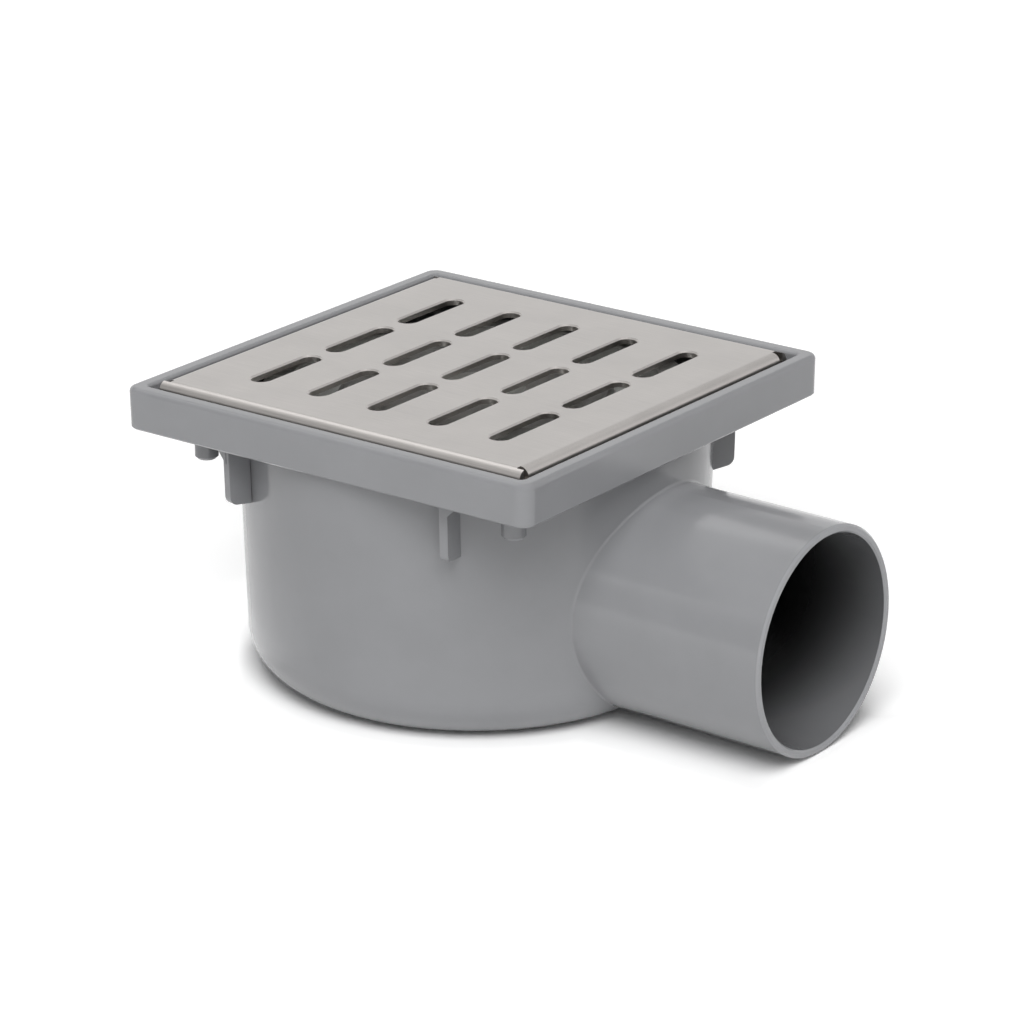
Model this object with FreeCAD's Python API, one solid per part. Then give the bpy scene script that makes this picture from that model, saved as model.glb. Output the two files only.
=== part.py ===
import FreeCAD, Part
import math
import os

# Floor gully trap with a side outlet, in millimetres.
# The origin is the middle of the flat base, on the axis of the round cup; +Z is up.
# The outlet spigot points along +X and the grate slots run along Y.

# Overall sizes
frame_size = 150.0            # outer side of the square top frame
rim_height = 93.3             # base to the top of the frame's rim
spigot_reach = 126.7          # cup axis to the mouth of the spigot, along the pipe

# Square top frame, one plastic moulding
rim_width = 5.1
skirt_height = 12.9           # rim top down to the free lower edge of the skirt
skirt_wall = 2.4
skirt_draft = 1.0             # degrees, narrower towards the bottom
frame_corner_radius = 4.5
recess_corner_radius = 1.2
rim_edge_radius = 1.5
rim_inner_edge_radius = 1.0
skirt_edge_chamfer = 0.5
shelf_thickness = 2.5         # the shelf that carries grate and seal cup
shelf_width = 8.9             # recess wall to the round bore
neck_wall = 2.2
neck_depth = 12.0             # neck below the underside of the shelf
weld_ring_wall = 2.3
weld_ring_depth = 8.0
weld_gap = 0.1                # solvent film between weld ring and cup wall
tuck_gap = 0.2                # cup rim to the inside of the skirt
web_count = 8
web_thickness = 1.8
web_depth = 6.0
corner_rib_thickness = 2.0
corner_rib_depth = 3.5

# Four fins under the frame that hug the cup from outside
fin_thickness = 2.6
fin_length = 22.8             # below the underside of the shelf, at the free end
fin_foot_slope = 1.0          # how much lower the foot lies at the wall than at the free end
fin_draft = 1.4               # degrees, on the free edge
fin_corner_radius = 2.8
fin_twist = 17.7              # degrees between the fin and the radius it stands on
fin_wall_gap = 0.15
fin_front_angle = 59.4        # degrees from the pipe axis, on the two -Y fins
fin_front_stand_off = 7.9     # free end from the rim of the cup
fin_back_angle = 40.8         # degrees from the pipe axis, on the two +Y fins
fin_back_stand_off = 6.4
gusset_size = 8.7
gusset_thickness = 2.0

# Two round bosses under the corners on the -Y side
boss_diameter = 7.2
boss_inset = 17.2             # boss axis from both outer faces of the frame
boss_length = 14.6            # below the underside of the shelf
boss_edge_chamfer = 0.8

# Round cup with its spigot, one plastic moulding
cup_wall = 2.5
cup_floor = 3.0
cup_draft = 1.35              # degrees, narrower towards the base
base_edge_radius = 15.0
base_inner_chamfer = 7.3      # inside the rounded base edge
spigot_diameter = 70.0
spigot_wall = 2.5
spigot_fall = 0.8             # degrees down towards the mouth, so that it drains
spigot_ground_gap = 0.1       # lowest point of the mouth above the ground
spigot_root = 77.5            # cup axis to the end of the tapered root, along the pipe
spigot_root_draft = 1.5       # degrees, wider towards the cup
saddle_radius = 0.8           # fillet where the spigot leaves the cup
mouth_edge_chamfer = 0.7
mouth_bore_chamfer = 0.5

# Grate, one folded stainless sheet that drops into the frame
sheet_thickness = 2.0
grate_gap = 2.3               # recess wall to the flange of the grate
grate_height = 7.6            # top face to the lower edge of the flanges
grate_proud = 1.0             # top face above the frame's rim
bend_radius = 3.0             # outside of the bend
flange_end_gap = 0.4          # end of a long flange short of the outer corner
flange_seam = 0.2             # end of a short flange to the long flange beside it
corner_notch = 1.0            # notch in the sheet beside the bend of a short flange
slot_length = 29.4
slot_width = 6.4
slot_columns = 5
slot_rows = 3
slot_pitch_x = 22.4
slot_pitch_y = 35.3
slot_lip_chamfer = 0.5

# Seal cup, the lift-out insert that holds the water
flange_gap = 0.8              # seal cup flange to the inside of the grate flanges
flange_thickness = 2.0
flange_edge_chamfer = 0.6
insert_gap = 0.8              # collars of the seal cup to the bore of the neck
collar_height = 1.4
collar_drop = 4.0             # shelf to the top of the upper collar
groove_depth = 1.6
insert_wall = 2.0
insert_depth = 49.0           # top of the shelf down to the underside of the insert
insert_edge_chamfer = 5.0
upstand_diameter = 40.0       # overflow tube in the middle of the insert
upstand_wall = 2.0
upstand_height = 32.0         # above the floor of the insert
upstand_lip_chamfer = 0.6

# Bell, the inverted cup over the upstand
bell_gap = 20.0               # upstand to the inside of the bell
bell_wall = 2.0
bell_foot_gap = 7.0           # lower edge of the bell above the floor of the insert
bell_top_gap = 4.8            # top of the bell to the underside of the grate
bell_edge_chamfer = 2.0
dish_diameter = 30.0          # hollow in the top of the bell, round the knob
dish_depth = 7.0
bell_rib_count = 4
bell_rib_thickness = 1.8
bell_rib_drop = 6.0           # the centring part of a rib below the upstand rim
bell_rib_gap = 0.3
knob_diameter = 9.0
knob_rise = 1.0               # top of the knob above the top of the bell
knob_edge_chamfer = 0.8

# Lip seal in the groove of the seal cup
seal_fit = 0.1                # groove floor to the inside of the ring
seal_lip_gap = 0.15           # lip to the bore of the neck
seal_lip_height = 0.8
seal_side_gap = 0.1
seal_height = 3.4
seal_web = 0.9                # thickness of the band behind the lips

UP = FreeCAD.Vector(0, 0, 1)
CENTRE = FreeCAD.Vector(0, 0, 0)
SAMPLE_TOLERANCE = 1e-4

# Sizes worked out from the ones above
frame_half = frame_size / 2
recess_half = frame_half - rim_width
skirt_low = rim_height - skirt_height
shelf_top = rim_height + grate_proud - grate_height
shelf_under = shelf_top - shelf_thickness
bore_radius = recess_half - shelf_width
skirt_lean = math.tan(math.radians(skirt_draft))
skirt_low_half = frame_half - skirt_height * skirt_lean
cup_lean = math.tan(math.radians(cup_draft))
cup_rim_radius = skirt_low_half - skirt_wall - tuck_gap
cup_base_radius = cup_rim_radius - shelf_under * cup_lean
spigot_radius = spigot_diameter / 2
fall = math.radians(spigot_fall)
spigot_axis_height = spigot_ground_gap + spigot_radius * math.cos(fall) + spigot_reach * math.sin(fall)
grate_half = recess_half - grate_gap
grate_top = rim_height + grate_proud
flat_half = grate_half - bend_radius
flange_radius = grate_half - sheet_thickness - flange_gap
collar_radius = bore_radius - insert_gap
groove_radius = collar_radius - groove_depth
groove_height = seal_height + 2 * seal_side_gap
groove_top = shelf_top - collar_drop - collar_height
insert_low = shelf_top - insert_depth
insert_floor = insert_low + insert_wall
upstand_radius = upstand_diameter / 2
upstand_top = insert_floor + upstand_height
bell_top = grate_top - sheet_thickness - bell_top_gap
bell_ceiling = bell_top - bell_wall
dish_floor = bell_top - dish_depth
dish_under = dish_floor - bell_wall
bell_foot = insert_floor + bell_foot_gap


def cup_radius_at(z):
    """Outer radius of the drafted cup at a height."""
    return cup_base_radius + z * cup_lean


def rounded_square(half, radius, z):
    """Closed wire of a square with rounded corners, centred on the axis."""
    flat = half - radius
    edges = []
    for turn in range(4):
        spin = FreeCAD.Rotation(UP, 90 * turn)
        side = [FreeCAD.Vector(half, -flat, z), FreeCAD.Vector(half, flat, z)]
        bulge = radius * math.sqrt(0.5)
        arc = [FreeCAD.Vector(half, flat, z),
               FreeCAD.Vector(flat + bulge, flat + bulge, z),
               FreeCAD.Vector(flat, half, z)]
        side = [spin.multVec(p) for p in side]
        arc = [spin.multVec(p) for p in arc]
        edges.append(Part.LineSegment(side[0], side[1]).toShape())
        edges.append(Part.Arc(arc[0], arc[1], arc[2]).toShape())
    return Part.Wire(edges)


def square_block(low_half, high_half, radius, low, high):
    """Solid between two rounded squares, so its sides may have draft; the radius is that at the top."""
    low_radius = radius + low_half - high_half
    wires = [rounded_square(low_half, low_radius, low), rounded_square(high_half, radius, high)]
    return Part.makeLoft(wires, True, True)


def tube(outer, inner, low, high):
    """Plain ring about the axis."""
    base = FreeCAD.Vector(0, 0, low)
    ring = Part.makeCylinder(outer, high - low, base, UP)
    return ring.cut(Part.makeCylinder(inner, high - low, base, UP))


def turned(points):
    """Solid of revolution about Z from a closed outline of (radius, height) points."""
    corners = [FreeCAD.Vector(r, 0, z) for r, z in points]
    face = Part.Face(Part.makePolygon(corners + corners[:1]))
    return face.revolve(CENTRE, UP, 360)


def circle_edges(shape, places):
    """Whole circular edges about Z at the given (radius, height) places."""
    found = []
    for edge in shape.Edges:
        if not isinstance(edge.Curve, Part.Circle) or not edge.isClosed():
            continue
        centre = edge.Curve.Center
        if math.hypot(centre.x, centre.y) > SAMPLE_TOLERANCE:
            continue
        for r, z in places:
            if abs(edge.Curve.Radius - r) < SAMPLE_TOLERANCE and abs(centre.z - z) < SAMPLE_TOLERANCE:
                found.append(edge)
    return found


def chamfered(shape, size, places):
    """Chamfer on the circular edges at the given places."""
    return shape.makeChamfer(size, circle_edges(shape, places))


def edges_at_height(shape, z, reach):
    """Edges that lie wholly in a level plane and stay within a distance of the axis."""
    found = []
    for edge in shape.Edges:
        box = edge.BoundBox
        level = abs(box.ZMin - z) < SAMPLE_TOLERANCE and abs(box.ZMax - z) < SAMPLE_TOLERANCE
        if level and max(abs(box.XMin), abs(box.XMax), abs(box.YMin), abs(box.YMax)) < reach:
            found.append(edge)
    return found


def spigot_bar(radius, start, end):
    """Solid round bar on the falling axis of the spigot."""
    along = FreeCAD.Vector(math.cos(fall), 0, -math.sin(fall))
    origin = FreeCAD.Vector(0, 0, spigot_axis_height)
    return Part.makeCylinder(radius, end - start, origin + along * start, along)


def spigot_root_cone(start):
    """The drafted root of the spigot, which meets its straight part in a circle."""
    along = FreeCAD.Vector(math.cos(fall), 0, -math.sin(fall))
    place = FreeCAD.Vector(0, 0, spigot_axis_height) + along * start
    length = spigot_root - start
    wide = spigot_radius + length * math.tan(math.radians(spigot_root_draft))
    return Part.makeCone(wide, spigot_radius, length, place, along)


def spigot_circle(shape, radius):
    """The circular edge of a given radius at the mouth of the spigot."""
    for edge in shape.Edges:
        round_edge = isinstance(edge.Curve, Part.Circle) and abs(edge.Curve.Radius - radius) < SAMPLE_TOLERANCE
        if round_edge and edge.BoundBox.XMax > spigot_reach - spigot_wall:
            return edge


def make_body():
    """Drafted round cup and its falling spigot, moulded in one."""
    start = cup_base_radius / 2
    outer = Part.makeCone(cup_base_radius, cup_rim_radius, shelf_under)
    outer = outer.makeFillet(base_edge_radius, circle_edges(outer, [(cup_base_radius, 0)]))
    outer.rotate(CENTRE, UP, 180)
    outer = outer.fuse([spigot_bar(spigot_radius, start, spigot_reach), spigot_root_cone(start)])
    outer = outer.removeSplitter()
    saddle = []
    for edge in outer.Edges:
        box = edge.BoundBox
        seam = isinstance(edge.Curve, Part.Circle) or isinstance(edge.Curve, Part.Line)
        if not seam and box.XMin > start and box.XMax < spigot_reach - spigot_wall:
            saddle.append(edge)
    outer = outer.makeFillet(saddle_radius, saddle)
    outer = outer.makeChamfer(mouth_edge_chamfer, [spigot_circle(outer, spigot_radius)])

    inner_low = cup_base_radius + cup_floor * cup_lean - cup_wall
    inner_high = cup_rim_radius - cup_wall
    cavity = Part.makeCone(inner_low, inner_high, shelf_under - cup_floor, FreeCAD.Vector(0, 0, cup_floor))
    cavity = chamfered(cavity, base_inner_chamfer, [(inner_low, cup_floor)])
    cavity.rotate(CENTRE, UP, 180)
    bore = spigot_bar(spigot_radius - spigot_wall, start, spigot_reach)
    body = outer.cut(cavity).cut(bore)
    return body.makeChamfer(mouth_bore_chamfer, [spigot_circle(body, spigot_radius - spigot_wall)])


def make_fin(angle, stand_off, side):
    """One fin: a thin plate with a rounded foot, cut to the wall of the cup."""
    reach = cup_rim_radius + stand_off
    depth = 3 * stand_off
    foot = -fin_length
    lean = fin_length * math.tan(math.radians(fin_draft))
    outline = [(0, 0), (depth, 0), (depth, foot - fin_foot_slope * depth / stand_off), (lean, foot)]
    corners = [FreeCAD.Vector(u, -fin_thickness / 2, z) for u, z in outline]
    plate = Part.Face(Part.makePolygon(corners + corners[:1]))
    plate = plate.extrude(FreeCAD.Vector(0, fin_thickness, 0))
    foot_edge = [e for e in plate.Edges
                 if abs(e.BoundBox.ZMin - foot) < SAMPLE_TOLERANCE and abs(e.BoundBox.ZMax - foot) < SAMPLE_TOLERANCE]
    plate = plate.makeFillet(fin_corner_radius, foot_edge)
    wing = [FreeCAD.Vector(0, 0, 0), FreeCAD.Vector(0, -gusset_size - fin_thickness / 2, 0),
            FreeCAD.Vector(0, 0, -gusset_size - fin_thickness / 2)]
    gusset = Part.Face(Part.makePolygon(wing + wing[:1]))
    plate = plate.fuse(gusset.extrude(FreeCAD.Vector(gusset_thickness, 0, 0)))
    plate = plate.removeSplitter()
    if side < 0:
        plate = plate.mirror(CENTRE, FreeCAD.Vector(0, 1, 0))
    plate.rotate(CENTRE, UP, angle + 180 - side * fin_twist)
    plate.translate(FreeCAD.Vector(reach * math.cos(math.radians(angle)),
                                   reach * math.sin(math.radians(angle)), shelf_under))
    wall = Part.makeCone(cup_base_radius + fin_wall_gap, cup_rim_radius + fin_wall_gap, shelf_under)
    return plate.cut(wall)


def make_boss(side):
    """Round boss under one front corner of the frame."""
    place = FreeCAD.Vector(side * (frame_half - boss_inset), -(frame_half - boss_inset), shelf_under - boss_length)
    boss = Part.makeCylinder(boss_diameter / 2, boss_length, place, UP)
    low = [e for e in boss.Edges if e.BoundBox.ZMax < place.z + SAMPLE_TOLERANCE]
    return boss.makeChamfer(boss_edge_chamfer, low)


def make_top_frame():
    """Square frame: drafted skirt, rim, shelf, neck, weld ring, webs, fins and bosses."""
    edge_top = skirt_low + skirt_edge_chamfer
    edge_top_half = skirt_low_half + skirt_edge_chamfer * skirt_lean
    edge_top_radius = frame_corner_radius + edge_top_half - frame_half
    frame = square_block(edge_top_half, frame_half, frame_corner_radius, edge_top, rim_height)
    frame = frame.makeFillet(rim_edge_radius, edges_at_height(frame, rim_height, frame_size))
    frame = frame.fuse(square_block(edge_top_half - skirt_edge_chamfer, edge_top_half, edge_top_radius,
                                    skirt_low, edge_top))
    recess = square_block(recess_half, recess_half, recess_corner_radius, shelf_top, rim_height)
    frame = frame.cut(recess)
    lip = edges_at_height(frame, rim_height, recess_half + SAMPLE_TOLERANCE)
    frame = frame.makeFillet(rim_inner_edge_radius, lip)

    hollow_low = skirt_low_half - skirt_wall
    hollow_high = hollow_low + (shelf_under - skirt_low) * skirt_lean
    hollow = square_block(hollow_low, hollow_high, frame_corner_radius - skirt_wall, skirt_low, shelf_under)
    frame = frame.cut(hollow)
    frame = frame.cut(Part.makeCylinder(bore_radius, shelf_thickness, FreeCAD.Vector(0, 0, shelf_under), UP))

    neck = tube(bore_radius + neck_wall, bore_radius, shelf_under - neck_depth, shelf_under)
    ring_low = shelf_under - weld_ring_depth
    ring_radius = cup_radius_at(ring_low) - cup_wall - weld_gap
    weld_ring = tube(ring_radius, ring_radius - weld_ring_wall, ring_low, shelf_under)
    weld_ring = chamfered(weld_ring, weld_ring_wall / 3, [(ring_radius, ring_low)])
    parts = [neck, weld_ring]

    web_span = ring_radius - weld_ring_wall / 2 - bore_radius - neck_wall / 2
    for count in range(web_count):
        web = Part.makeBox(web_span, web_thickness, web_depth,
                           FreeCAD.Vector(bore_radius + neck_wall / 2, -web_thickness / 2, shelf_under - web_depth))
        web.rotate(CENTRE, UP, (count + 0.5) * 360 / web_count)
        parts.append(web)

    rib_start = cup_rim_radius + fin_wall_gap
    rib_end = (frame_half - skirt_wall) * math.sqrt(2) - frame_corner_radius / 2
    for count in range(4):
        rib = Part.makeBox(rib_end - rib_start, corner_rib_thickness, corner_rib_depth,
                           FreeCAD.Vector(rib_start, -corner_rib_thickness / 2, shelf_under - corner_rib_depth))
        rib.rotate(CENTRE, UP, 45 + 90 * count)
        parts.append(rib)

    parts += [make_boss(-1), make_boss(1)]
    for angle, stand_off, side in ((-fin_front_angle, fin_front_stand_off, 1),
                                   (fin_front_angle - 180, fin_front_stand_off, -1),
                                   (fin_back_angle, fin_back_stand_off, -1),
                                   (180 - fin_back_angle, fin_back_stand_off, 1)):
        parts.append(make_fin(angle, stand_off, side))
    return frame.fuse(parts).removeSplitter()


def make_slot(x, y):
    """Cutter for one slot with rounded ends, through the sheet."""
    straight = slot_length - slot_width
    low = grate_top - sheet_thickness
    cutter = Part.makeBox(slot_width, straight, sheet_thickness,
                          FreeCAD.Vector(x - slot_width / 2, y - straight / 2, low))
    for end in (-1, 1):
        cap = Part.makeCylinder(slot_width / 2, sheet_thickness, FreeCAD.Vector(x, y + end * straight / 2, low), UP)
        cutter = cutter.fuse(cap)
    return cutter.removeSplitter()


def make_folded_side(half_length, turn):
    """One side of the grate: its bend and flange, folded down from the sheet."""
    bend_low = grate_top - bend_radius
    inside_half = grate_half - sheet_thickness
    inner_radius = bend_radius - sheet_thickness
    places = [(flat_half, grate_top), (grate_half, bend_low), (grate_half, shelf_top),
              (inside_half, shelf_top), (inside_half, bend_low), (flat_half, bend_low + inner_radius)]
    corners = [FreeCAD.Vector(u, -half_length, z) for u, z in places]
    outer_bulge = FreeCAD.Vector(1, 0, 1) * (bend_radius * math.sqrt(0.5))
    inner_bulge = FreeCAD.Vector(1, 0, 1) * (inner_radius * math.sqrt(0.5))
    bend_middle = FreeCAD.Vector(flat_half, -half_length, bend_low)
    outline = [Part.Arc(corners[0], bend_middle + outer_bulge, corners[1]).toShape(),
               Part.makeLine(corners[1], corners[2]),
               Part.makeLine(corners[2], corners[3]),
               Part.makeLine(corners[3], corners[4]),
               Part.Arc(corners[4], bend_middle + inner_bulge, corners[5]).toShape(),
               Part.makeLine(corners[5], corners[0])]
    side = Part.Face(Part.Wire(outline)).extrude(FreeCAD.Vector(0, 2 * half_length, 0))
    side.rotate(CENTRE, UP, turn)
    return side


def make_grate():
    """Stainless sheet with a field of slots and notched corners, folded down on four sides."""
    long_half = grate_half - flange_end_gap
    short_half = grate_half - sheet_thickness - flange_seam
    grate = Part.makeBox(2 * flat_half, 2 * flat_half, sheet_thickness,
                         FreeCAD.Vector(-flat_half, -flat_half, grate_top - sheet_thickness))
    sides = [make_folded_side(short_half, 0), make_folded_side(long_half, 90),
             make_folded_side(short_half, 180), make_folded_side(long_half, 270)]
    grate = grate.fuse(sides).removeSplitter()
    notches = []
    for x in (flat_half, -grate_half):
        for y in (flat_half - corner_notch, -short_half):
            notches.append(Part.makeBox(bend_radius, short_half - flat_half + corner_notch, bend_radius,
                                        FreeCAD.Vector(x, y, grate_top - bend_radius)))
    grate = grate.cut(notches)
    slots = []
    for column in range(slot_columns):
        for row in range(slot_rows):
            x = (column - (slot_columns - 1) / 2) * slot_pitch_x
            y = (row - (slot_rows - 1) / 2) * slot_pitch_y
            slots.append(make_slot(x, y))
    grate = grate.cut(slots)
    field = flat_half - slot_lip_chamfer
    return grate.makeChamfer(slot_lip_chamfer, edges_at_height(grate, grate_top, field))


def make_seal_cup():
    """Turned form of the water-holding insert: flange, grooved wall, floor and overflow tube."""
    groove_low = groove_top - groove_height
    collar_low = groove_low - collar_height
    inside = groove_radius - insert_wall
    tube_in = upstand_radius - upstand_wall
    flange_top = shelf_top + flange_thickness
    cup = turned([
        (tube_in, insert_low), (groove_radius, insert_low), (groove_radius, collar_low),
        (collar_radius, collar_low), (collar_radius, groove_low), (groove_radius, groove_low),
        (groove_radius, groove_top), (collar_radius, groove_top), (collar_radius, shelf_top),
        (flange_radius, shelf_top), (flange_radius, flange_top), (inside, flange_top),
        (inside, insert_floor), (upstand_radius, insert_floor),
        (upstand_radius, upstand_top), (tube_in, upstand_top),
    ])
    cup = chamfered(cup, insert_edge_chamfer, [(groove_radius, insert_low), (inside, insert_floor)])
    cup = chamfered(cup, upstand_lip_chamfer, [(tube_in, upstand_top)])
    return chamfered(cup, flange_edge_chamfer, [(flange_radius, flange_top), (inside, flange_top)])


def make_bell():
    """Inverted cup with a lifting knob in a dish; its ribs sit on the overflow tube."""
    inner = upstand_radius + bell_gap
    outer = inner + bell_wall
    dish = dish_diameter / 2
    knob = knob_diameter / 2
    knob_top = bell_top + knob_rise
    bell = turned([
        (0, dish_under), (dish + bell_wall, dish_under), (dish + bell_wall, bell_ceiling),
        (inner, bell_ceiling), (inner, bell_foot), (outer, bell_foot),
        (outer, bell_top), (dish, bell_top), (dish, dish_floor), (knob, dish_floor),
        (knob, knob_top), (0, knob_top),
    ])
    bell = chamfered(bell, bell_edge_chamfer, [(outer, bell_top)])
    bell = chamfered(bell, knob_edge_chamfer, [(knob, knob_top)])
    rib_in = dish + bell_wall / 2
    centring = upstand_radius + bell_rib_gap
    rib_top = bell_ceiling + bell_wall / 2
    ribs = []
    for count in range(bell_rib_count):
        seat = Part.makeBox(centring - rib_in, bell_rib_thickness, rib_top - upstand_top,
                            FreeCAD.Vector(rib_in, -bell_rib_thickness / 2, upstand_top))
        guide = Part.makeBox(inner + bell_wall / 2 - centring, bell_rib_thickness,
                             rib_top - upstand_top + bell_rib_drop,
                             FreeCAD.Vector(centring, -bell_rib_thickness / 2, upstand_top - bell_rib_drop))
        rib = seat.fuse(guide)
        rib.rotate(CENTRE, UP, 45 + count * 360 / bell_rib_count)
        ribs.append(rib)
    return bell.fuse(ribs).removeSplitter()


def make_seal():
    """Rubber ring with one lip that bears on the bore of the neck."""
    low = groove_top - seal_side_gap - seal_height
    high = low + seal_height
    inner = groove_radius + seal_fit
    web = inner + seal_web
    tip = bore_radius - seal_lip_gap
    middle = (low + high) / 2
    return turned([
        (inner, low), (web, low), (tip, middle - seal_lip_height / 2),
        (tip, middle + seal_lip_height / 2), (web, high), (inner, high),
    ])


os.makedirs("parts", exist_ok=True)
pieces = {
    "body": make_body,
    "top_frame": make_top_frame,
    "seal_cup": make_seal_cup,
    "bell": make_bell,
    "cup_seal": make_seal,
    "grate": make_grate,
}
for name, make in pieces.items():
    shape = make()
    solids = shape.Solids
    if len(solids) == 1:
        shape = solids[0]
    print(name, "solids", len(solids), "valid", shape.isValid(), "volume", round(shape.Volume, 1))
    shape.exportStep(os.path.join("parts", name + ".step"))
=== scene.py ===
import math

import bpy
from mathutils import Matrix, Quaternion, Vector

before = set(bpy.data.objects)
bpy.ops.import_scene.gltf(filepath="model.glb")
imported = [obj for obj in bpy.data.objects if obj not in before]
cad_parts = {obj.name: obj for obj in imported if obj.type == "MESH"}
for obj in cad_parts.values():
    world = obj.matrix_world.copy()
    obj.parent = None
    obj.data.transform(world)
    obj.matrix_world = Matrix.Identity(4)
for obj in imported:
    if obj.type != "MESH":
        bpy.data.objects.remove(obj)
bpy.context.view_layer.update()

# The camera stands at the photograph's viewing angle, about 1.3 m from the trap.
# Lens and place were solved from the square frame, the slots and the round mouth.
SENSOR_WIDTH = 36.0
CAMERA_LENS = 151.903
CAMERA_PLACE = Vector((0.754638, -0.978688, 0.503732))
CAMERA_TURN = math.radians(37.141)
CAMERA_TILT = math.radians(20.266)
CAMERA_ROLL = math.radians(-0.316)
NEAREST_SEEN = 0.01
FARTHEST_SEEN = 50.0

eye = bpy.data.cameras.new("eye")
eye.sensor_width = SENSOR_WIDTH
eye.lens = CAMERA_LENS
eye.clip_start = NEAREST_SEEN
eye.clip_end = FARTHEST_SEEN
eye_stand = bpy.data.objects.new("eye", eye)
ahead = Vector((-math.sin(CAMERA_TURN) * math.cos(CAMERA_TILT),
                math.cos(CAMERA_TURN) * math.cos(CAMERA_TILT),
                -math.sin(CAMERA_TILT)))
eye_stand.rotation_mode = "QUATERNION"
eye_stand.rotation_quaternion = ahead.to_track_quat("-Z", "Y") @ Quaternion((0, 0, 1), CAMERA_ROLL)
eye_stand.location = CAMERA_PLACE
bpy.context.scene.collection.objects.link(eye_stand)
bpy.context.scene.camera = eye_stand


# The cup and its spigot are one injection moulding in grey plastic, glossy as the mould left it.
# Little light gets into the bore and the cup, so painted shade darkens the plastic's colour there, the
# deeper the more.
# The square-cut mouth is a little paler than the walls.
PLASTIC_IOR = 1.49
DRIFT_SCALE = 38.0
DRIFT_SPAN = (0.3, 0.7)
SKIN_SCALE = 900.0
SKIN_DEPTH = 0.00006
SKIN_STRENGTH = 0.25

HOUSING_GREY = (0.236, 0.239, 0.248)
HOUSING_ROUGHNESS = 0.17

AXIS_HEIGHT = 0.036866
FALL = 0.013962
BORE_REACH = 0.0338
MOUTH_START = 0.1261
MOUTH_TONE = 1.15
CUP_REACH = 0.0690
CUP_LEAN = 0.02357
BASE_ROUNDING = 0.016
SIDE_DEPTH = 0.9
DEPTH_SHADES = [(0.0, 0.03), (0.066, 0.03), (0.076, 0.09), (0.084, 0.21), (0.092, 0.37),
               (0.097, 0.46), (0.102, 0.57), (0.110, 0.62), (0.122, 0.67)]


def nodes_of(name):
    """A new material with an empty tree: (material, tree, output node)."""
    finish = bpy.data.materials.new(name)
    finish.use_nodes = True
    tree = finish.node_tree
    tree.nodes.clear()
    out = tree.nodes.new("ShaderNodeOutputMaterial")
    return finish, tree, out


def finish_node(name, finish):
    """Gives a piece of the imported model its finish."""
    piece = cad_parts[name]
    piece.data.materials.clear()
    piece.data.materials.append(finish)


def figure(tree, operation, one, other=0.0):
    """One step of arithmetic on sockets or numbers: its result socket."""
    step = tree.nodes.new("ShaderNodeMath")
    step.operation = operation
    for place, value in enumerate((one, other)):
        if isinstance(value, (int, float)):
            step.inputs[place].default_value = value
        else:
            tree.links.new(value, step.inputs[place])
    return step.outputs[0]


def ramp(tree, value, stops):
    """A colour ramp of greys through (place, tone) stops: its colour socket."""
    tones = tree.nodes.new("ShaderNodeValToRGB")
    ends = tones.color_ramp.elements
    for count, (place, tone) in enumerate(stops):
        stop = ends[count] if count < 2 else ends.new(place)
        stop.position = place
        stop.color = (tone, tone, tone, 1)
    tree.links.new(value, tones.inputs["Fac"])
    return tones.outputs["Color"]


def noise(tree, vector, scale, detail, roughness=0.5):
    """A noise pattern laid on a vector: its value socket."""
    pattern = tree.nodes.new("ShaderNodeTexNoise")
    pattern.inputs["Scale"].default_value = scale
    pattern.inputs["Detail"].default_value = detail
    pattern.inputs["Roughness"].default_value = roughness
    tree.links.new(vector, pattern.inputs["Vector"])
    return pattern.outputs["Fac"]


def tinted(tree, value, span, colour, tones):
    """A colour between a dark and a light tone of itself, as the value crosses a span."""
    tint = tree.nodes.new("ShaderNodeValToRGB")
    for stop, place, tone in zip(tint.color_ramp.elements, span, tones):
        stop.position = place
        stop.color = tuple(part * tone for part in colour) + (1,)
    tree.links.new(value, tint.inputs["Fac"])
    return tint.outputs["Color"]


def spread(tree, value, span, results):
    """The value, with its span laid out between two results."""
    laid = tree.nodes.new("ShaderNodeMapRange")
    for name, number in zip(("From Min", "From Max", "To Min", "To Max"), span + results):
        laid.inputs[name].default_value = number
    tree.links.new(value, laid.inputs["Value"])
    return laid.outputs["Result"]


def relief(tree, height, depth, strength):
    """A surface that rises and falls a little with a pattern: its normal socket."""
    bump = tree.nodes.new("ShaderNodeBump")
    bump.inputs["Strength"].default_value = strength
    bump.inputs["Distance"].default_value = depth
    tree.links.new(height, bump.inputs["Height"])
    return bump.outputs["Normal"]


def moulded_plastic(name, colour, roughness, mottle, shade=None):
    """Moulded plastic: soft colour drift, uneven gloss and a very fine skin texture."""
    finish, tree, out = nodes_of(name)
    link = tree.links.new
    place = tree.nodes.new("ShaderNodeTexCoord").outputs["Object"]
    skin = tree.nodes.new("ShaderNodeBsdfPrincipled")
    skin.inputs["IOR"].default_value = PLASTIC_IOR
    link(skin.outputs["BSDF"], out.inputs["Surface"])

    drift = noise(tree, place, DRIFT_SCALE, 4.0)
    tint = tinted(tree, drift, DRIFT_SPAN, colour, (1 - mottle, 1 + mottle))
    if shade:
        toned = tree.nodes.new("ShaderNodeVectorMath")
        toned.operation = "SCALE"
        link(tint, toned.inputs[0])
        link(shade(tree, place), toned.inputs["Scale"])
        tint = toned.outputs[0]
    link(tint, skin.inputs["Base Color"])
    link(spread(tree, drift, (0, 1), (roughness * 0.86, roughness * 1.16)), skin.inputs["Roughness"])
    fine = noise(tree, place, SKIN_SCALE, 3.0)
    link(relief(tree, fine, SKIN_DEPTH, SKIN_STRENGTH), skin.inputs["Normal"])
    return finish


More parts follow.
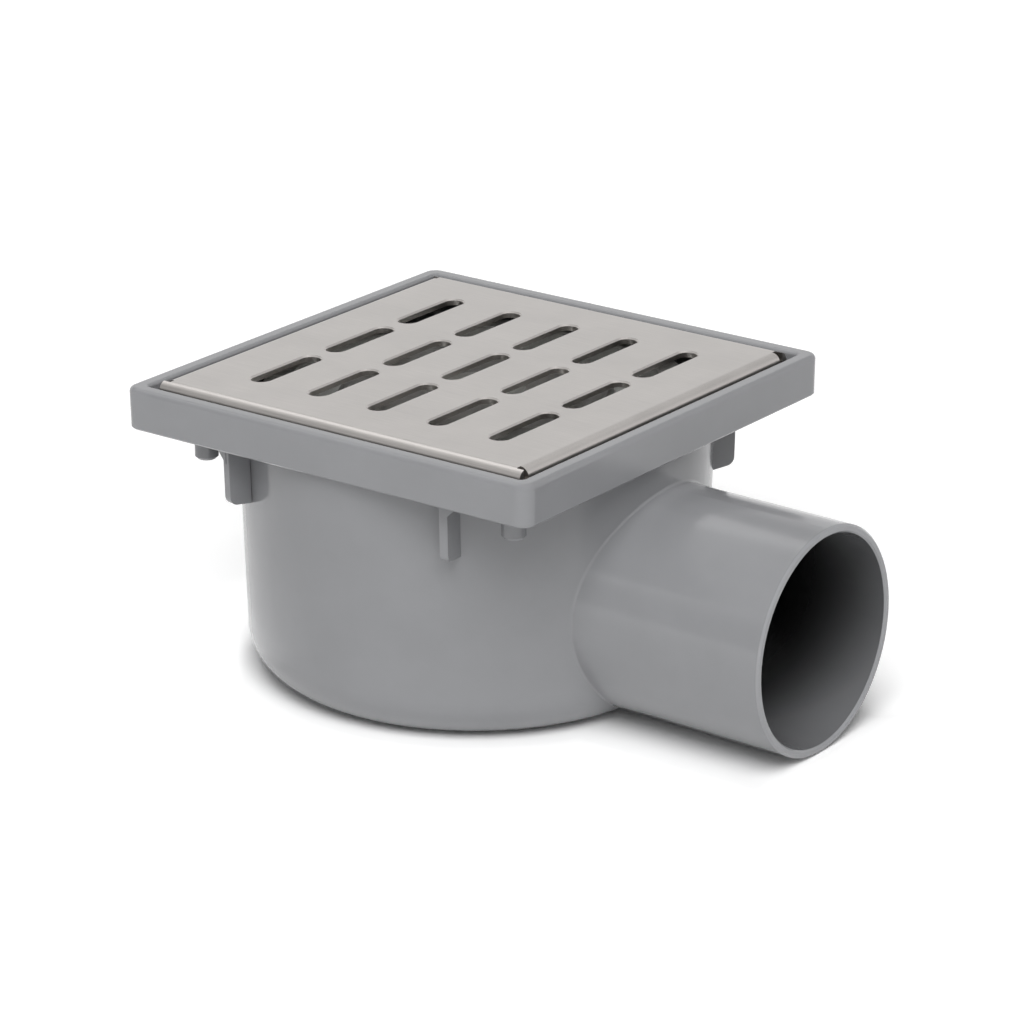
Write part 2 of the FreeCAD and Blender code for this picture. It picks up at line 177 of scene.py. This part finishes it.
def inner_shade(tree, place):
    """Tone of the housing's grey: 1 on the walls outside, less inside as painted shade, more on the
    mouth.
    """
    apart = tree.nodes.new("ShaderNodeSeparateXYZ")
    tree.links.new(place, apart.inputs["Vector"])
    x, y, z = apart.outputs
    x_square = figure(tree, "MULTIPLY", x, x)
    y_square = figure(tree, "MULTIPLY", y, y)

    above_axis = figure(tree, "SUBTRACT", z, AXIS_HEIGHT)
    drop = figure(tree, "ADD", above_axis, figure(tree, "MULTIPLY", x, FALL))
    across = figure(tree, "SQRT", figure(tree, "ADD", y_square, figure(tree, "MULTIPLY", drop, drop)))
    along = figure(tree, "SUBTRACT", x, figure(tree, "MULTIPLY", above_axis, FALL))
    at_mouth = figure(tree, "GREATER_THAN", along, MOUTH_START)
    behind_mouth = figure(tree, "SUBTRACT", 1.0, at_mouth)
    spigot_side = figure(tree, "MULTIPLY", figure(tree, "GREATER_THAN", x, 0.0), behind_mouth)
    in_bore = figure(tree, "MULTIPLY", figure(tree, "LESS_THAN", across, BORE_REACH), spigot_side)

    from_middle = figure(tree, "SQRT", figure(tree, "ADD", y_square, x_square))
    wall = figure(tree, "ADD", figure(tree, "MULTIPLY", z, CUP_LEAN), CUP_REACH)
    above_base = figure(tree, "GREATER_THAN", z, BASE_ROUNDING)
    in_cup = figure(tree, "MULTIPLY", figure(tree, "LESS_THAN", from_middle, wall), above_base)

    # Painted shade inside: darker the deeper along the bore and the further to its sides.
    inside = figure(tree, "MAXIMUM", in_bore, in_cup)
    sideways = figure(tree, "MULTIPLY", figure(tree, "ABSOLUTE", y), SIDE_DEPTH)
    depth_shade = ramp(tree, figure(tree, "SUBTRACT", along, sideways), DEPTH_SHADES)
    darker = figure(tree, "MULTIPLY", inside, figure(tree, "SUBTRACT", depth_shade, 1.0))
    paler = figure(tree, "MULTIPLY", at_mouth, MOUTH_TONE - 1)
    return figure(tree, "ADD", paler, figure(tree, "ADD", darker, 1.0))


HOUSING_MOTTLE = 0.035
finish_node("body", moulded_plastic("body_plastic", HOUSING_GREY, HOUSING_ROUGHNESS, HOUSING_MOTTLE,
                                    shade=inner_shade))


# The square frame is a second moulding in the same plastic, cemented on the cup.
# Its rim stands round the grate, and fins and bosses hang below the skirt.
finish_node("top_frame", moulded_plastic("housing_plastic", HOUSING_GREY, HOUSING_ROUGHNESS,
                                         HOUSING_MOTTLE))


# The seal cup and its bell lift out for cleaning. Both are thin mouldings in white plastic,
# a little waxy, and they show only as pale shapes through the slots.
INSERT_WHITE = (0.80, 0.80, 0.78)
INSERT_ROUGHNESS = 0.35
INSERT_MOTTLE = 0.02
insert_plastic = moulded_plastic("insert_plastic", INSERT_WHITE, INSERT_ROUGHNESS, INSERT_MOTTLE)
finish_node("seal_cup", insert_plastic)
finish_node("bell", insert_plastic)


# The lip seal is a black rubber ring, matt and slightly dusty, pressed into its groove.
# It bears on the throat of the frame, out of sight below the flange of the seal cup.
SEAL_BLACK = (0.018, 0.018, 0.019)
SEAL_ROUGHNESS = 0.62
SEAL_MOTTLE = 0.15
finish_node("cup_seal", moulded_plastic("seal_rubber", SEAL_BLACK, SEAL_ROUGHNESS, SEAL_MOTTLE))


# The grate is stainless sheet, pressed through with slots and folded down on four sides.
# The face is satin brushed along X, with a soft cloudiness from handling.
STEEL = (0.534, 0.510, 0.491)
STEEL_TONES = (0.88, 1.10)
STEEL_ROUGHNESS = 0.33
BRUSHING = (60.0, 4200.0, 4200.0)
BRUSHED_DEPTH = 0.00002
BRUSHED_STRENGTH = 0.12
CLOUD_SCALE = 55.0
CLOUD_SHARE = 0.35


def satin_steel(name):
    """Satin stainless sheet: fine brushed streaks and a faint cloud over them."""
    finish, tree, out = nodes_of(name)
    link = tree.links.new
    place = tree.nodes.new("ShaderNodeTexCoord").outputs["Object"]
    metal = tree.nodes.new("ShaderNodeBsdfPrincipled")
    metal.inputs["Metallic"].default_value = 1.0
    link(metal.outputs["BSDF"], out.inputs["Surface"])

    stretch = tree.nodes.new("ShaderNodeMapping")
    stretch.inputs["Scale"].default_value = BRUSHING
    link(place, stretch.inputs["Vector"])
    streaks = noise(tree, stretch.outputs["Vector"], 1.0, 5.0, roughness=0.65)
    both = tree.nodes.new("ShaderNodeMix")
    both.inputs["Factor"].default_value = CLOUD_SHARE
    link(streaks, both.inputs["A"])
    link(noise(tree, place, CLOUD_SCALE, 5.0), both.inputs["B"])
    pattern = both.outputs["Result"]

    gloss = (STEEL_ROUGHNESS * 0.85, STEEL_ROUGHNESS * 1.2)
    link(tinted(tree, pattern, (0.35, 0.65), STEEL, STEEL_TONES), metal.inputs["Base Color"])
    link(spread(tree, pattern, (0.3, 0.7), gloss), metal.inputs["Roughness"])
    link(relief(tree, streaks, BRUSHED_DEPTH, BRUSHED_STRENGTH), metal.inputs["Normal"])
    return finish


finish_node("grate", satin_steel("grate_steel"))


# The floor is plain white paper. It keeps the contact shadow, which ends a few millimetres outside
# the cup and the spigot. Further out, and on the shaded side where the cast shadow falls, painted
# light in the floor lifts it to white.
FLOOR_REACH = 6.0
PAPER_WHITE = (0.93, 0.93, 0.93, 1)
FOOT_RADIUS = 0.0727
SPIGOT_HALF = 0.035
SPIGOT_END = 0.127
EDGE_START = 0.010
FLOOR_GLOW = [(0.0, 0.0), (0.007, 0.03), (0.010, 0.10), (0.014, 0.18), (0.022, 0.25), (0.11, 0.25),
              (0.31, 0.36), (0.41, 0.45), (1.0, 0.8)]
SHADOW_LIFT = [(0.0, 0.0), (0.007, 0.0), (0.012, 0.33), (0.018, 0.48), (0.032, 0.48), (0.041, 0.32),
              (0.066, 0.14), (0.080, 0.09), (0.105, 0.0)]
SHADED_SIDE = [(0.045, 0.0), (0.065, 1.0)]


def looking(tree):
    """1 for what the camera sees, straight, in a reflection or through something, and else 0."""
    path = tree.nodes.new("ShaderNodeLightPath")
    seen = figure(tree, "MAXIMUM", path.outputs["Is Camera Ray"], path.outputs["Is Glossy Ray"])
    return figure(tree, "MAXIMUM", seen, path.outputs["Is Transmission Ray"])


def floor_painted_light(tree, place):
    """Strength of the painted light in the floor, by how far a place lies outside the trap's outline.
    """
    apart = tree.nodes.new("ShaderNodeSeparateXYZ")
    tree.links.new(place, apart.inputs["Vector"])
    x, y, _ = apart.outputs
    x_square = figure(tree, "MULTIPLY", x, x)
    y_square = figure(tree, "MULTIPLY", y, y)
    far = figure(tree, "SQRT", figure(tree, "ADD", x_square, y_square))
    from_cup = figure(tree, "SUBTRACT", far, FOOT_RADIUS)
    to_back = figure(tree, "MULTIPLY", x, -1)
    beside = figure(tree, "SUBTRACT", figure(tree, "ABSOLUTE", y), SPIGOT_HALF)
    beyond = figure(tree, "SUBTRACT", x, SPIGOT_END)
    from_spigot = figure(tree, "MAXIMUM", figure(tree, "MAXIMUM", beside, beyond), to_back)
    outside = figure(tree, "ADD", figure(tree, "MINIMUM", from_cup, from_spigot), EDGE_START)
    # On the shaded side more painted light lifts the cast shadow.
    shaded_side = ramp(tree, to_back, SHADED_SIDE)
    shadow_lift = figure(tree, "MULTIPLY", ramp(tree, outside, SHADOW_LIFT), shaded_side)
    return figure(tree, "ADD", ramp(tree, outside, FLOOR_GLOW), shadow_lift)


floor_mesh = bpy.data.meshes.new("floor")
floor_mesh.from_pydata([(-FLOOR_REACH, -FLOOR_REACH, 0), (FLOOR_REACH, -FLOOR_REACH, 0),
                        (FLOOR_REACH, FLOOR_REACH, 0), (-FLOOR_REACH, FLOOR_REACH, 0)],
                       [], [(0, 1, 2, 3)])
floor = bpy.data.objects.new("floor", floor_mesh)
bpy.context.scene.collection.objects.link(floor)

paper, tree, out = nodes_of("paper")
matt = tree.nodes.new("ShaderNodeBsdfDiffuse")
matt.inputs["Color"].default_value = PAPER_WHITE
glow = tree.nodes.new("ShaderNodeEmission")
fill = floor_painted_light(tree, tree.nodes.new("ShaderNodeTexCoord").outputs["Object"])
tree.links.new(figure(tree, "MULTIPLY", fill, looking(tree)), glow.inputs["Strength"])
both = tree.nodes.new("ShaderNodeAddShader")
tree.links.new(matt.outputs["BSDF"], both.inputs[0])
tree.links.new(glow.outputs["Emission"], both.inputs[1])
tree.links.new(both.outputs["Shader"], out.inputs["Surface"])
floor.data.materials.append(paper)


# The room round the trap is white to the eye and gives only a little light of its own.
# In gloss and steel it has a dimmer band high up and a dimmer wall in front.
AMBIENT = 0.15
HIGH_BAND = [(0.0, 1.0), (0.42, 1.0), (0.52, 0.6), (0.62, 0.6), (0.72, 1.0)]
FRONT_WALL = [(0.15, 1.0), (0.5, 0.5)]


def mixed(tree, share, one, other):
    """A number between one and the other, by a share socket: its result socket."""
    blend = tree.nodes.new("ShaderNodeMix")
    blend.data_type = "FLOAT"
    blend.inputs["A"].default_value = one
    tree.links.new(share, blend.inputs["Factor"])
    tree.links.new(other, blend.inputs["B"])
    return blend.outputs["Result"]


sky = bpy.data.worlds.new("sky")
bpy.context.scene.world = sky
sky.use_nodes = True
tree = sky.node_tree
tree.nodes.clear()
out = tree.nodes.new("ShaderNodeOutputWorld")
apart = tree.nodes.new("ShaderNodeSeparateXYZ")
tree.links.new(tree.nodes.new("ShaderNodeTexCoord").outputs["Generated"], apart.inputs["Vector"])
high_band = ramp(tree, apart.outputs["Z"], HIGH_BAND)
front_wall = ramp(tree, figure(tree, "MULTIPLY", apart.outputs["Y"], -1), FRONT_WALL)
room = figure(tree, "MULTIPLY", high_band, front_wall)
in_gloss = tree.nodes.new("ShaderNodeLightPath").outputs["Is Glossy Ray"]
light = tree.nodes.new("ShaderNodeBackground")
light.inputs["Color"].default_value = (1, 1, 1, 1)
tree.links.new(mixed(tree, looking(tree), AMBIENT, mixed(tree, in_gloss, 1.0, room)),
               light.inputs["Strength"])
tree.links.new(light.outputs["Background"], out.inputs["Surface"])


# Plain soft studio lamps: a big one high in front, a low one below it, and two weak ones at the left
# front and behind. Most of the front light is kept out of gloss, so that steel stays grey from behind.
OBJECT_MIDDLE = Vector((0.02, 0, 0.05))
FRONT_HIGH = Vector((0.777, -0.994, 1.802))
FRONT_LOW = Vector((1.173, -1.501, 1.1))
LEFT_FRONT = Vector((-0.733, -1.571, 1.354))
BEHIND = Vector((-1.20, 0.56, 1.75))
BIG_SQUARE = (1.3, 1.3)
LONG_BOX = (1.1, 0.5)


def softbox(name, place, size, power, mirrored=True):
    """A soft light turned towards the trap. Only a mirrored one shows in gloss."""
    lamp = bpy.data.lights.new(name, "AREA")
    lamp.shape = "RECTANGLE"
    lamp.size, lamp.size_y = size
    lamp.energy = power
    stand = bpy.data.objects.new(name, lamp)
    stand.location = place
    stand.rotation_mode = "QUATERNION"
    stand.rotation_quaternion = (OBJECT_MIDDLE - place).to_track_quat("-Z", "Y")
    stand.visible_glossy = mirrored
    bpy.context.scene.collection.objects.link(stand)


softbox("front_high", FRONT_HIGH, BIG_SQUARE, 26.5, mirrored=False)
softbox("front_glint", FRONT_HIGH, BIG_SQUARE, 20.0)
softbox("front_low", FRONT_LOW, BIG_SQUARE, 9.5, mirrored=False)
softbox("left_front", LEFT_FRONT, BIG_SQUARE, 2.0)
softbox("edge_light", BEHIND, LONG_BOX, 2.0)

bpy.context.scene.view_settings.view_transform = "Standard"
